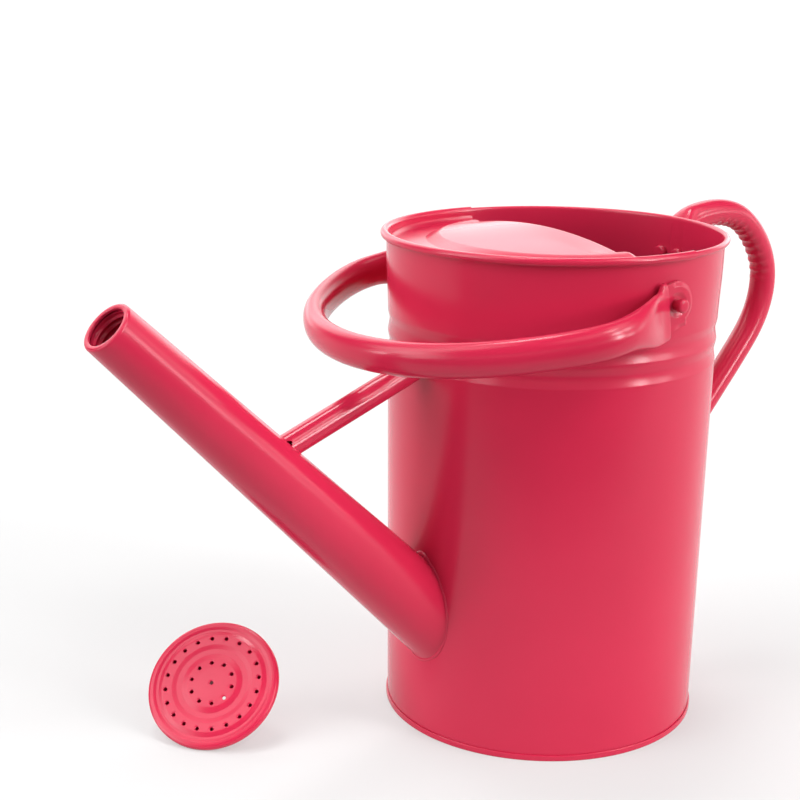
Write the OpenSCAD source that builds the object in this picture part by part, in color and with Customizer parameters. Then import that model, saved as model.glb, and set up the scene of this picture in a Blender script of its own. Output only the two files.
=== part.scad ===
// Sheet-steel watering can with a swinging bail, a fixed rear handle and a screw-on rose.
// +X points towards the spout, +Z up, origin at the centre of the foot, millimetres.
// The bail leans forwards below level, and the rose lies unscrewed on the floor.

/* [Barrel] */
// Height of the barrel to the top of its rolled rim
barrel_h = 304; // [280:1:330]
// Outer radius of the barrel at the rim
top_r = 100; // [96:0.5:104]
// Outer radius of the barrel at the foot
foot_r = 98.4; // [95:0.1:100]
// Thickness of the sheet
sheet = 0.8; // [0.6:0.1:1.2]
// Diameter of the rolled rim
rim_d = 4.6; // [3:0.1:6]
// Heights of the two swaged grooves
groove_z = [233, 247]; // [225:1:255]
// Depth of each groove
groove_depth = 1.3; // [0.5:0.1:2]

/* [Base] */
// Height of the seam round the foot
foot_seam_h = 4; // [3:0.5:6]
// Height of the recessed bottom disc above the floor
base_recess = 4.2; // [3:0.1:6]

/* [Splash cover] */
// Depth of the cover's flat ledge below the top of the rim
ledge_drop = 8; // [5:0.5:12]
// Middle of the raised dome, which was pressed a little off the barrel's axis, as X and Y
dome_xy = [-10, -10];
// Radius of the raised dome's foot
dome_foot_r = 77; // [70:1:80]
// Height of the ridge round the dome's edge above the ledge
ridge_h = 3.4; // [2:0.1:5]
// Height of the dome above the ledge at its middle
dome_h = 7.8; // [4:0.1:8]
// Place of the cover's open edge along X
cover_edge_x = -5; // [-12:1:5]

/* [Spout] */
// Point on the spout's axis from which its length is measured, as X and Z
spout_root = [90, 76];
// Elevation of the spout's axis in degrees
spout_tilt = 44.7; // [40:0.1:50]
// Length of the spout from the root point to the tip
spout_len = 292; // [260:1:310]
// Outer radius of the spout at the root point
spout_root_r = 24.1; // [21:0.1:26]
// Outer radius of the spout at the tip
spout_tip_r = 15.1; // [14:0.1:16]
// Radius of the threaded ring's bore
mouth_r = 12.2; // [12:0.05:12.5]
// Length of the threaded ring
mouth_len = 15; // [10:1:20]

/* [Brace] */
// Outer radius of the brace between spout and barrel
brace_r = 7.3; // [5:0.1:9]
// Ends of the brace's axis, at the barrel and inside the spout, as X and Z
brace_line = [[92, 238], [196, 199.3]];

/* [Rear handle] */
// Outer radius of the handle tube
handle_r = 8.7; // [8:0.1:10]
// Half width of the flattened pads
pad_half_w = 13.6; // [12:0.1:15]
// Half thickness of the flattened pads
pad_half_t = 1.7; // [1.5:0.1:2.5]
// Heights of the upper and the lower pair of rivets
rivet_z = [280, 112];
// Half distance between the two rivets of a pair
rivet_half_gap = 7.5; // [6:0.5:9]

/* [Bail] */
// Height of the bail's pivot axis
pivot_z = 276; // [270:1:282]
// Angle of the bail below level in degrees
bail_droop = 9.7; // [5:0.1:14]
// Half height of the bail tube, across the plane of the bow
bail_half_h = 10; // [8:0.1:12]
// Half thickness of the bail tube, in the plane of the bow
bail_half_t = 7.2; // [6:0.1:9]
// Half height of the bail tube's flattened ends
bail_end_half_h = 14.6; // [12:0.1:16]
// Radius of the pivot stud's shank
stud_r = 3.2; // [2.5:0.05:4]
// Radial running clearance of the pivot
pivot_clear = 0.08; // [0.02:0.01:0.1]
// Distance of the bail ears' inner faces from the middle plane
ear_y = 102.2; // [102:0.1:103]
// Thickness of an ear
ear_t = 2; // [1.5:0.1:3]

/* [Rose] */
// Place on the floor plane of the middle of the spray face, as X and Y
rose_xy = [203, -73.1];
// Compass direction that the spray face looks along, in degrees from +X
rose_turn = 36.2; // [0:0.1:90]
// Elevation of the spray face's axis in degrees
rose_tilt = 46; // [40:0.5:52]
// Outer radius of the rose
rose_r = 42; // [38:0.5:46]
// Depth of the crimped rim behind the spray face
rose_rim_depth = 4.6; // [4:0.1:6]
// Outer radius of the neck
neck_r = 12.05; // [11.8:0.01:12.15]
// Radius of each spray hole
spray_r = 1.1; // [0.8:0.1:1.5]
// Radii of the outer and the inner ring of spray holes
spray_ring_r = [30.1, 13.5];
// Number of holes in the outer and the inner ring
spray_count = [20, 10];
// Angle of the first hole of each ring in degrees
spray_turn = 16; // [0:1:36]

/* [Hidden] */
$fn = 96;
paint = [0.83, 0.13, 0.27];
gap = 0.1;
groove_half_w = 5;
groove_step = 1.25;
spout_trim = 35;
flange_len = 80;
rivet_shank_r = 2.2;
rivet_head_r = 4.9;
rivet_fit = 0.02;
bore_from = 90;
bore_to = 110;
tube_sides = 20;
tube_steps = 3;
tube_wall = 1;
pad_len = 28;
pad_blend = 24;
pad_x = [101.7, 100.8];
arm_flat_len = 5;
arm_blend = 42;
arm_end_half_t = 2.3;
stud_head_r = 3.9;
rose_axis_z = sin(rose_tilt);
rose_rise = cos(rose_tilt);
rose_z = rose_rim_depth * rose_axis_z + rose_r * rose_rise;
neck_end = (rose_z - neck_r * rose_rise) / rose_axis_z;
neck_start = 16;
neck_root_r = neck_r + 0.6;
collar_end = neck_start + 4;
thread_len = 13;

// Centre line of the rear handle in the XZ plane, from the upper pad round to the lower pad
handle_path = [[-101.7, 269], [-101.7, 288], [-104.6, 294.2], [-112, 299.8], [-126, 303], [-144, 303.4],
               [-161, 299], [-176, 287], [-187, 270], [-190.5, 254], [-188, 238], [-180, 222], [-165, 203.5],
               [-145, 181], [-125, 158.5], [-111, 142], [-103, 129], [-100.8, 116], [-100.8, 99]];

// Half of the bail's centre line, forwards from the pivot and out from the middle plane
bail_half = [[8, 103.2], [12, 103.6], [20, 107.4], [30, 111.6], [44, 115.2], [62, 115.8], [84, 107],
             [108, 90.5], [129, 68.5], [145, 38]];
bail_front = [151.2, 0];
bail_path = concat(bail_half, [bail_front], [for (i = [len(bail_half) - 1:-1:0]) [bail_half[i].x, -bail_half[i].y]]);

// ---- shared shapes ------------------------------------------------------------------------------

function barrel_r(z) = foot_r + (top_r - foot_r) * z / barrel_h;

// Depth of the swaged grooves at height z, a raised cosine round each groove's middle
function groove(z) = let (d = [for (g = groove_z) abs(z - g)], near = min(d))
    near < groove_half_w ? groove_depth * (1 + cos(180 * near / groove_half_w)) / 2 : 0;

module barrel_body(extra) {
    cylinder(h = barrel_h, r1 = foot_r + extra, r2 = top_r + extra);
}

// Places a child's +Z along the spout's axis, with its origin at a distance from the root point
module on_spout(distance) {
    translate([spout_root.x, 0, spout_root.y])
        rotate([0, 90 - spout_tilt, 0])
            translate([0, 0, distance])
                children();
}

function spout_r(distance) = spout_root_r + (spout_tip_r - spout_root_r) * distance / spout_len;

module spout_cone(from, to, extra) {
    on_spout(from) cylinder(h = to - from, r1 = spout_r(from) + extra, r2 = spout_r(to) + extra);
}

// Places a child's +X along the outward radius at an angle and height
module on_barrel(angle, z) {
    rotate([0, 0, angle]) translate([0, 0, z]) children();
}

module x_cylinder(from, to, r) {
    translate([from, 0, 0]) rotate([0, 90, 0]) cylinder(h = to - from, r = r);
}

// Domed rivet head whose flat side lies at x = 0 and whose dome points along +X
module rivet_head(r, height) {
    ball = (r * r + height * height) / (2 * height);
    rotate([0, 90, 0])
        rotate_extrude()
            intersection() {
                translate([0, height - ball]) circle(r = ball);
                square([r, height]);
            }
}

// Catmull-Rom curve through the points
function between(a, b, c, d, t) =
    (2 * b + (c - a) * t + (2 * a - 5 * b + 4 * c - d) * t * t + (3 * b - a - 3 * c + d) * t * t * t) / 2;

function curve(pts) = let (n = len(pts)) concat(
    [for (i = [0:n - 2], j = [0:tube_steps - 1])
        between(pts[max(i - 1, 0)], pts[i], pts[i + 1], pts[min(i + 2, n - 1)], j / tube_steps)],
    [pts[n - 1]]);

function smooth(t) = let (s = min(max(t, 0), 1)) s * s * (3 - 2 * s);

// Length along a curve at each of its points
function lengths(c, i = 1, sum = [0]) =
    i == len(c) ? sum : lengths(c, i + 1, concat(sum, [sum[i - 1] + norm(c[i] - c[i - 1])]));

function signed_power(v, e) = sign(v) * pow(abs(v), e);

// One section of a formed tube: flat is 1 on a flattened end and 0 on the full tube
function ring(at, across, round_size, flat_size, flat, inset) =
    let (half_t = round_size[0] * (1 - flat) + flat_size[0] * flat - inset,
         half_h = round_size[1] * (1 - flat) + flat_size[1] * flat - inset,
         e = 1 - 0.45 * flat)
    [for (k = [0:tube_sides - 1]) let (a = 360 * k / tube_sides,
         t = half_t * signed_power(cos(a), e), h = half_h * signed_power(sin(a), e))
        [at.x + across.x * t, at.y + across.y * t, h]];

// Tube along a plane curve, flattened over end_len at both ends and blended over blend_len
module formed_tube(pts, round_size, flat_size, end_len, blend_len) {
    c = curve(pts);
    n = len(c);
    s = lengths(c);
    total = s[n - 1];
    flat = [for (i = [0:n - 1]) 1 - smooth((min(s[i], total - s[i]) - end_len) / blend_len)];
    across = [for (i = [0:n - 1]) let (d = c[min(i + 1, n - 1)] - c[max(i - 1, 0)]) [-d.y, d.x] / norm(d)];
    outer = [for (i = [0:n - 1]) each ring(c[i], across[i], round_size, flat_size, flat[i], 0)];
    inner = [for (i = [0:n - 1]) each ring(c[i], across[i], round_size, flat_size, flat[i], tube_wall)];
    m = tube_sides;
    o = n * m;
    wall = [for (i = [0:n - 2], k = [0:m - 1]) let (a = i * m + k, b = i * m + (k + 1) % m)
            each [[a, b, b + m, a + m], [o + a, o + a + m, o + b + m, o + b]]];
    ends = [for (k = [0:m - 1]) let (b = (k + 1) % m, z = (n - 1) * m)
            each [[k, o + k, o + b, b], [z + k, z + b, o + z + b, o + z + k]]];
    polyhedron(points = concat(outer, inner), faces = concat(wall, ends), convexity = 6);
}

// ---- the can ------------------------------------------------------------------------------------

module barrel() {
    low = 0.85;
    band = [for (z = [min(groove_z) - groove_half_w:groove_step:max(groove_z) + groove_half_w]) z];
    heights = concat([low], band, [barrel_h - rim_d / 2]);
    outside = [for (z = heights) [barrel_r(z) - groove(z), z]];
    inside = [for (i = [len(heights) - 1:-1:0]) [outside[i].x - sheet, heights[i]]];
    rim_mid_r = top_r - sheet + rim_d / 2;
    color(paint)
        difference() {
            union() {
                rotate_extrude($fn = 180) polygon(concat(outside, inside));
                rotate_extrude($fn = 180) translate([rim_mid_r, barrel_h - rim_d / 2]) circle(d = rim_d, $fn = 24);
            }
            spout_cone(-spout_trim, 60, -sheet - 0.4);
            for (side = [-1, 1])
                on_barrel(90 * side, pivot_z) x_cylinder(bore_from, bore_to, stud_r + rivet_fit);
            rivet_bores();
        }
}

module base_pan() {
    outer = foot_r + 1;
    lip = foot_r + 0.05;
    inner = foot_r - sheet - 0.3;
    color(paint)
        rotate_extrude($fn = 180)
            polygon([[0, base_recess], [inner - sheet, base_recess], [inner - sheet, 0], [outer, 0],
                     [outer, foot_seam_h], [lip + 0.06, foot_seam_h], [lip + 0.06, sheet], [inner, sheet],
                     [inner, base_recess + sheet], [0, base_recess + sheet]]);
}

// Ledge inside the rim with a dome pressed up out of it, cut off along a straight open edge
module splash_cover() {
    flange_r = top_r - sheet - 0.2;
    ledge_z = barrel_h - ledge_drop;
    flange = [[flange_r - sheet, barrel_h - 1], [flange_r - sheet, ledge_z + 4], [flange_r - 1.8, ledge_z + 1.2],
              [flange_r - 4, ledge_z], [0, ledge_z], [0, ledge_z - sheet], [flange_r - 3.6, ledge_z - sheet],
              [flange_r - 0.9, ledge_z + 0.4], [flange_r, ledge_z + 3.4], [flange_r, barrel_h - 1]];
    dome = [[dome_foot_r, 0], [dome_foot_r - 1.6, ridge_h * 0.7], [dome_foot_r - 3, ridge_h],
            [dome_foot_r - 5, ridge_h - 0.3], [dome_foot_r - 9, ridge_h - 1.2], [dome_foot_r - 14, ridge_h - 0.7],
            [dome_foot_r / 2, dome_h * 0.78], [0, dome_h]];
    color(paint)
        intersection() {
            union() {
                difference() {
                    rotate_extrude($fn = 180) polygon(flange);
                    translate([dome_xy.x, dome_xy.y, ledge_z - 2]) cylinder(h = 4, r = dome_foot_r - 1, $fn = 180);
                }
                translate([dome_xy.x, dome_xy.y, ledge_z])
                    rotate_extrude($fn = 180)
                        polygon(concat(dome, [for (i = [len(dome) - 1:-1:1]) [max(dome[i].x - 0.4, 0), dome[i].y - sheet]],
                                       [[dome_foot_r - 1.2, -sheet], [dome_foot_r, -sheet]]));
            }
            translate([cover_edge_x, -top_r, ledge_z - 5]) cube([2 * top_r, 2 * top_r, 30]);
        }
}

module spout_tube() {
    lip_r = 0.9;
    color(paint)
        difference() {
            union() {
                difference() {
                    spout_cone(5 - spout_trim, spout_len - lip_r, 0);
                    spout_cone(-spout_trim, spout_len + 1, -sheet);
                }
                on_spout(spout_len - lip_r)
                    rotate_extrude() translate([spout_tip_r - lip_r, 0]) circle(r = lip_r, $fn = 24);
            }
            barrel_body(gap);
        }
}

// Thin collar that lies on the barrel round the spout's root
module spout_flange() {
    width = 3.2;
    thick = 1.1;
    color(paint)
        difference() {
            intersection() {
                barrel_body(gap + thick);
                spout_cone(5 - spout_trim, flange_len, width);
            }
            barrel_body(gap);
            spout_cone(-spout_trim, flange_len + 10, gap);
        }
}

module mouth_ring() {
    inset = 2;
    outer = spout_r(spout_len) - sheet - gap;
    color(paint)
        on_spout(spout_len - inset - mouth_len)
            difference() {
                cylinder(h = mouth_len, r = outer);
                translate([0, 0, -1]) cylinder(h = mouth_len + 2, r = mouth_r);
            }
}

module spout_brace() {
    run = brace_line[1] - brace_line[0];
    length = norm(run);
    slope = atan2(run.y, run.x);
    color(paint)
        difference() {
            translate([brace_line[0].x, 0, brace_line[0].y])
                rotate([0, 90 - slope, 0])
                    difference() {
                        cylinder(h = length, r = brace_r);
                        translate([0, 0, -1]) cylinder(h = length + 2, r = brace_r - tube_wall);
                    }
            barrel_body(gap);
            spout_cone(0, spout_len, gap);
        }
}

// ---- rear handle and its rivets -----------------------------------------------------------------

function rivet_angle(z) = asin(rivet_half_gap / barrel_r(z));

module rivet_bores() {
    for (side = [-1, 1], z = rivet_z)
        on_barrel(180 + side * rivet_angle(z), z) x_cylinder(bore_from, bore_to, rivet_shank_r + rivet_fit);
}

// The pads lie against the barrel, so its outline is cut out of them
module rear_handle() {
    color(paint)
        difference() {
            rotate([90, 0, 0])
                formed_tube(handle_path, [handle_r, handle_r], [pad_half_t, pad_half_w], pad_len, pad_blend);
            barrel_body(gap);
            rivet_bores();
        }
}

// A pair of rivets through the barrel and the flat outer face of a pad, with a head on each side
module rivet_pair(pair) {
    z = rivet_z[pair];
    angle = rivet_angle(z);
    inner_face = barrel_r(z) - sheet - 0.2;
    outer_face = (pad_x[pair] + pad_half_t + rivet_head_r * sin(angle)) / cos(angle) + 0.2;
    for (side = [-1, 1])
        on_barrel(180 + side * angle, z) {
            x_cylinder(inner_face - 0.5, outer_face + 0.5, rivet_shank_r);
            translate([outer_face, 0, 0]) rivet_head(rivet_head_r, 2.2);
            translate([inner_face, 0, 0]) mirror([1, 0, 0]) rivet_head(rivet_head_r, 2.8);
        }
}

module rivets_upper() {
    color(paint) rivet_pair(0);
}

module rivets_lower() {
    color(paint) rivet_pair(1);
}

// ---- bail ---------------------------------------------------------------------------------------

// Studs through the barrel wall: inner head, collar, shank for the ear and an outer head
module pivot_studs() {
    wall = barrel_r(pivot_z);
    inner_face = wall - sheet - 0.2;
    collar_r = 5;
    head_from = ear_y + ear_t + 3.8;
    head_to = ear_y + ear_t + 7;
    color(paint)
        for (side = [-1, 1])
            on_barrel(90 * side, pivot_z) {
                translate([inner_face, 0, 0]) mirror([1, 0, 0]) rivet_head(rivet_head_r, 2.5);
                x_cylinder(inner_face - 0.5, head_from + 1, stud_r);
                x_cylinder(wall + 0.05, ear_y - 0.3, collar_r);
                x_cylinder(head_from, head_to, stud_head_r);
                translate([head_to, 0, 0]) rivet_head(stud_head_r, 0.8);
            }
}

// Places the bail's own plane, X forwards and Z across it, at its resting lean
module at_bail() {
    translate([0, 0, pivot_z]) rotate([0, bail_droop, 0]) children();
}

module bail_tube() {
    color(paint)
        at_bail()
            formed_tube(bail_path, [bail_half_t, bail_half_h], [arm_end_half_t, bail_end_half_h],
                        arm_flat_len, arm_blend);
}

// D-shaped plate whose straight side is held in the flattened end of the tube
module ear() {
    round_r = 13.2;
    shoulder = 7.6;
    tongue = [11.5, 12.4];
    rotate([90, 0, 0])
        linear_extrude(height = ear_t)
            difference() {
                union() {
                    circle(r = round_r);
                    translate([0, -round_r]) square([shoulder, 2 * round_r]);
                    translate([0, -tongue.y]) square([tongue.x, 2 * tongue.y]);
                }
                circle(r = stud_r + pivot_clear);
            }
}

module bail_ear_left() {
    color(paint) at_bail() translate([0, ear_y + ear_t, 0]) ear();
}

module bail_ear_right() {
    color(paint) at_bail() translate([0, -ear_y, 0]) ear();
}

// ---- rose ---------------------------------------------------------------------------------------

// Places the rose's axis, +Z out of the spray face, with the rose lying on its rim and neck
module at_rose() {
    translate([rose_xy.x, rose_xy.y, rose_z])
        rotate([0, 90 - rose_tilt, rose_turn])
            children();
}

// Pressed face with two raised bands, and a skirt crimped over the back's edge
module rose_face() {
    t = 0.7;
    top = [[0, 0.6], [10, 0.5], [17.4, 0.1], [19.4, -0.9], [23.4, -0.9], [25, 0], [32.8, 0], [34.4, -1.3],
           [36.2, -1.3], [37.8, -0.2], [40.2, -0.6], [41.5, -1.4], [rose_r, -2.6], [rose_r, -rose_rim_depth]];
    under = [[rose_r - t, -rose_rim_depth], [rose_r - t, -2.8], [41, -2], [40, -1.3], [37.7, -0.9], [36.4, -2],
             [34.2, -2], [32.6, -t], [25.2, -t], [23.6, -1.6], [19.2, -1.6], [17.2, -t + 0.1], [10, 0.5 - t],
             [0, 0.6 - t]];
    color(paint)
        at_rose()
            difference() {
                rotate_extrude() polygon(concat(top, under));
                translate([0, 0, -5]) cylinder(h = 10, r = spray_r, $fn = 24);
                for (row = [0, 1], i = [0:spray_count[row] - 1])
                    rotate([0, 0, spray_turn + 360 * i / spray_count[row]])
                        translate([spray_ring_r[row], 0, -5])
                            cylinder(h = 10, r = spray_r, $fn = 24);
            }
}

// Shallow cone behind the face, ending in a collar round the neck's root
module rose_back() {
    t = 0.7;
    edge = rose_r - 0.8;
    collar = neck_root_r + 0.05;
    color(paint)
        at_rose()
            rotate_extrude()
                polygon([[edge, -3], [edge, -4.4], [38, -5.2], [15.6, -neck_start], [collar + t, -neck_start - 2],
                         [collar + t, -collar_end], [collar, -collar_end], [collar, -neck_start - 1.4],
                         [15.2, -neck_start + 0.6], [37.6, -4.4], [edge - 1.2, -3]]);
}

// Neck that screws into the mouth ring, drawn at its crest radius, with a relief above its thread
module rose_neck() {
    relief_r = neck_r - 0.5;
    color(paint)
        at_rose()
            translate([0, 0, -neck_end])
                difference() {
                    union() {
                        cylinder(h = thread_len, r = neck_r);
                        cylinder(h = neck_end - collar_end, r = relief_r);
                        translate([0, 0, neck_end - collar_end])
                            cylinder(h = collar_end - neck_start, r = neck_root_r);
                    }
                    translate([0, 0, -1]) cylinder(h = neck_end, r = neck_r - 1.4);
                }
}

barrel();
base_pan();
splash_cover();
spout_tube();
spout_flange();
mouth_ring();
spout_brace();
rear_handle();
rivets_upper();
rivets_lower();
pivot_studs();
bail_tube();
bail_ear_left();
bail_ear_right();
rose_face();
rose_back();
rose_neck();
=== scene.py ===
"""Looks of the sheet-steel watering can: every sheet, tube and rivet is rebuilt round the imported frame.

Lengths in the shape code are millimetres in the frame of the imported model, and make() turns them into metres.
"""

import math

import bmesh
import bpy
import numpy as np
from mathutils import Matrix, Vector


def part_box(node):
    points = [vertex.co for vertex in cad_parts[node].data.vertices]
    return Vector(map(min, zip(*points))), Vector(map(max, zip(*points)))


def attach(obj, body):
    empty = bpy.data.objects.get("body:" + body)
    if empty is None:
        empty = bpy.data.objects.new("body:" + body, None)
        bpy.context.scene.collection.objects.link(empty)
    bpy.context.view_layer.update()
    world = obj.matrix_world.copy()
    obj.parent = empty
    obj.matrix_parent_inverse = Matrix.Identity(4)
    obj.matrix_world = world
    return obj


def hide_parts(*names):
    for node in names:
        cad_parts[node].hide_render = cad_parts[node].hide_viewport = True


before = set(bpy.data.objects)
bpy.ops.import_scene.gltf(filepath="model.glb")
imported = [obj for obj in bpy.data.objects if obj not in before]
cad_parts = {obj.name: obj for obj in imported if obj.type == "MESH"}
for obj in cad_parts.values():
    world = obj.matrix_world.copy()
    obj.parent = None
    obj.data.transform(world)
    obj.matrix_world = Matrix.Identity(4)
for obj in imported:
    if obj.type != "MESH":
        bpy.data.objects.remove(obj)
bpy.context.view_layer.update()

MM = 0.001
PI = math.pi

# ---- sizes shared with the frame ------------------------------------------------------------------

BARREL_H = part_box("barrel")[1].z / MM
TOP_R = 100.0
FOOT_R = 98.4
SHEET = 0.8
FLARE = 1.0
RIM_D = 3.6
RIM_MID_R = TOP_R + FLARE - SHEET + RIM_D / 2
RIM_MID_Z = BARREL_H - RIM_D / 2
PIVOT_Z = 276.0
LEDGE_Z = BARREL_H - 8
SPOUT_ROOT = np.array([90.0, 0.0, 76.0])
SPOUT_TILT = math.radians(44.7)
SPOUT_LEN = 292.0
SPOUT_R = (24.1, 15.1)
BAIL_DROOP = math.radians(9.7)
ROSE_R = 42.0
ROSE_RIM = 4.6
ROSE_TILT = math.radians(46)
ROSE_Z = ROSE_RIM * math.sin(ROSE_TILT) + ROSE_R * math.cos(ROSE_TILT)
NECK_R = 12.05
NECK_START = 16.0
NECK_END = (ROSE_Z - NECK_R * math.cos(ROSE_TILT)) / math.sin(ROSE_TILT)
THREAD_PITCH = 3.4


def barrel_r(z):
    """Outer radius of the wall's even taper."""
    return FOOT_R + (TOP_R - FOOT_R) * z / BARREL_H


def smooth(t):
    """Smooth step from 0 at t = 0 to 1 at t = 1."""
    t = min(max(t, 0.0), 1.0)
    return t * t * (3 - 2 * t)


def wall_r(z):
    """Outer radius of the sheet, which is spread a little below its rolled rim."""
    return barrel_r(z) + FLARE * smooth((z - 255) / 35)


def bell(x, middle, half):
    """1 at middle, falling smoothly to 0 at middle - half and middle + half."""
    return 0.5 + 0.5 * math.cos(PI * min(abs(x - middle) / half, 1.0))


# ---- mesh building --------------------------------------------------------------------------------

class Shape:
    """Vertices in millimetres and faces, collected from patches."""

    def __init__(self):
        self.verts = []
        self.faces = []

    def grid(self, rows, wrap_rows=False, wrap_cols=False):
        """A sheet of quads over rows of points, with wrapped ends where the surface closes on itself."""
        n, m = len(rows), len(rows[0])
        base = len(self.verts)
        for row in rows:
            self.verts.extend(tuple(float(c) for c in p) for p in row)
        for i in range(n if wrap_rows else n - 1):
            for k in range(m if wrap_cols else m - 1):
                a = base + i * m + k
                b = base + i * m + (k + 1) % m
                c = base + ((i + 1) % n) * m + (k + 1) % m
                d = base + ((i + 1) % n) * m + k
                self.faces.append((a, b, c, d))
        return self

    def lathe(self, profile, steps=160, turn=(0.0, 2 * PI)):
        """A closed (r, z) outline turned about Z, all the way round or between two angles with end faces."""
        whole = abs(turn[1] - turn[0] - 2 * PI) < 1e-9
        count = steps if whole else steps + 1
        rows = []
        for i in range(count):
            a = turn[0] + (turn[1] - turn[0]) * i / steps
            rows.append([(r * math.cos(a), r * math.sin(a), z) for r, z in profile])
        base = len(self.verts)
        self.grid(rows, wrap_rows=whole, wrap_cols=True)
        if not whole:
            m = len(profile)
            self.faces.append(tuple(base + k for k in range(m)))
            last = base + (count - 1) * m
            self.faces.append(tuple(last + k for k in reversed(range(m))))
        return self

    def moved(self, matrix):
        """Every vertex taken through a 4 by 4 matrix."""
        m = np.array(matrix)
        self.verts = [tuple(m[:3, :3] @ np.array(v) + m[:3, 3]) for v in self.verts]
        return self

    def join(self, other):
        base = len(self.verts)
        self.verts.extend(other.verts)
        self.faces.extend(tuple(base + k for k in f) for f in other.faces)
        return self

    def warp(self, change):
        """Every vertex replaced by what change() makes of it."""
        self.verts = [tuple(change(np.array(v))) for v in self.verts]
        return self


def rounded(points, radius, steps=5, closed=True):
    """The outline with an arc of the given radius, or one radius each, at its corners."""
    pts = [np.array(p, float) for p in points]
    n = len(pts)
    radii = radius if hasattr(radius, "__len__") else [radius] * n
    out = []
    for i in range(n):
        if not closed and i in (0, n - 1):
            out.append(tuple(pts[i]))
            continue
        p, a, b = pts[i], pts[i - 1] - pts[i], pts[(i + 1) % n] - pts[i]
        la, lb = np.linalg.norm(a), np.linalg.norm(b)
        a, b = a / la, b / lb
        half = math.acos(max(-1.0, min(1.0, float(a @ b)))) / 2
        if radii[i] <= 0 or half > PI / 2 - 0.02:
            out.append(tuple(p))
            continue
        cut = min(radii[i] / math.tan(half), 0.48 * la, 0.48 * lb)
        r = cut * math.tan(half)
        mid = p + (a + b) / np.linalg.norm(a + b) * (r / math.sin(half))
        start, end = p + a * cut - mid, p + b * cut - mid
        full = math.acos(max(-1.0, min(1.0, float(start @ end) / (r * r))))
        for k in range(steps + 1):
            t = k / steps
            w0 = math.sin((1 - t) * full) / math.sin(full)
            w1 = math.sin(t * full) / math.sin(full)
            out.append(tuple(mid + start * w0 + end * w1))
    return out


def spaced(points, step):
    """The same polyline with no piece longer than step."""
    out = []
    for a, b in zip(points[:-1], points[1:]):
        a, b = np.array(a, float), np.array(b, float)
        n = max(1, int(math.ceil(np.linalg.norm(b - a) / step)))
        out.extend(tuple(a + (b - a) * k / n) for k in range(n))
    out.append(tuple(points[-1]))
    return out


def sheet_outline(side, thick, steps=4):
    """Closed outline, with round edges, of a sheet of even thickness that has the given line as one side."""
    pts = np.array(side, float)
    d = np.gradient(pts, axis=0)
    normal = np.stack([d[:, 1], -d[:, 0]], 1)
    normal /= np.linalg.norm(normal, axis=1)[:, None]
    other = pts + normal * thick
    out = [tuple(p) for p in pts]
    for end, before, flip in ((-1, -2, 1), (0, 1, -1)):
        mid = (pts[end] + other[end]) / 2
        across = (pts[end] - mid) * flip
        along = pts[end] - pts[before]
        along *= thick / 2 / np.linalg.norm(along)
        for k in range(1, steps):
            t = PI * k / steps
            out.append(tuple(mid + across * math.cos(t) + along * math.sin(t)))
        if end == -1:
            out.extend(tuple(p) for p in other[::-1])
    return out


def crossing(outside, near, far, rounds):
    """Place on a line where outside() stops being positive, given a place outside and one inside."""
    for _ in range(rounds):
        mid = (near + far) / 2
        if outside(mid) > 0:
            near = mid
        else:
            far = mid
    return near


def frame_matrix(origin, x, y, z):
    """4 by 4 matrix that puts local axes along three directions at an origin."""
    m = np.eye(4)
    m[:3, 0], m[:3, 1], m[:3, 2], m[:3, 3] = x, y, z, origin
    return m


def turned(axis, angle, origin=(0, 0, 0)):
    """4 by 4 matrix that turns about an axis and then moves to an origin."""
    return np.array(Matrix.Translation(Vector(origin)) @ Matrix.Rotation(angle, 4, axis))


SPOUT_DIR = np.array([math.cos(SPOUT_TILT), 0, math.sin(SPOUT_TILT)])
ON_SPOUT = frame_matrix(SPOUT_ROOT, (math.sin(SPOUT_TILT), 0, -math.cos(SPOUT_TILT)), (0, 1, 0), SPOUT_DIR)
FLIP_Z = np.diag([1.0, 1.0, -1.0, 1.0])
AT_BAIL = turned("Y", BAIL_DROOP, (0, 0, PIVOT_Z))
AT_ROSE = (np.array(Matrix.Translation(Vector((203.0, -73.1, ROSE_Z))))
           @ turned("Z", math.radians(36.2)) @ turned("Y", PI / 2 - ROSE_TILT))


def on_barrel(angle, z):
    """Frame whose Z is the outward radius of the barrel at an angle and height."""
    c, s = math.cos(angle), math.sin(angle)
    return frame_matrix((0, 0, z), (-s, c, 0), (0, 0, 1), (c, s, 0))


def new_object(name, shape):
    """Object in metres made of a shape, with doubled vertices joined and its faces turned outwards."""
    mesh = bpy.data.meshes.new(name)
    mesh.from_pydata([tuple(c * MM for c in v) for v in shape.verts], [], shape.faces)
    bm = bmesh.new()
    bm.from_mesh(mesh)
    bmesh.ops.remove_doubles(bm, verts=bm.verts, dist=2e-6)
    bmesh.ops.dissolve_degenerate(bm, edges=bm.edges, dist=1e-6)
    bmesh.ops.recalc_face_normals(bm, faces=bm.faces)
    bm.to_mesh(mesh)
    bm.free()
    ob = bpy.data.objects.new(name, mesh)
    bpy.context.scene.collection.objects.link(ob)
    return ob


def apply_modifiers(ob):
    """Puts the result of the object's modifiers in place of its mesh."""
    view = bpy.context.evaluated_depsgraph_get()
    mesh = bpy.data.meshes.new_from_object(ob.evaluated_get(view))
    old = ob.data
    ob.modifiers.clear()
    ob.data = mesh
    bpy.data.meshes.remove(old)


def cut(ob, cutter_shape):
    """Takes the closed cutter out of the closed object."""
    cutter = new_object("cutter", cutter_shape)
    mod = ob.modifiers.new("cut", "BOOLEAN")
    mod.operation = "DIFFERENCE"
    mod.solver = "EXACT"
    mod.object = cutter
    apply_modifiers(ob)
    mesh = cutter.data
    bpy.data.objects.remove(cutter)
    bpy.data.meshes.remove(mesh)


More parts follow.
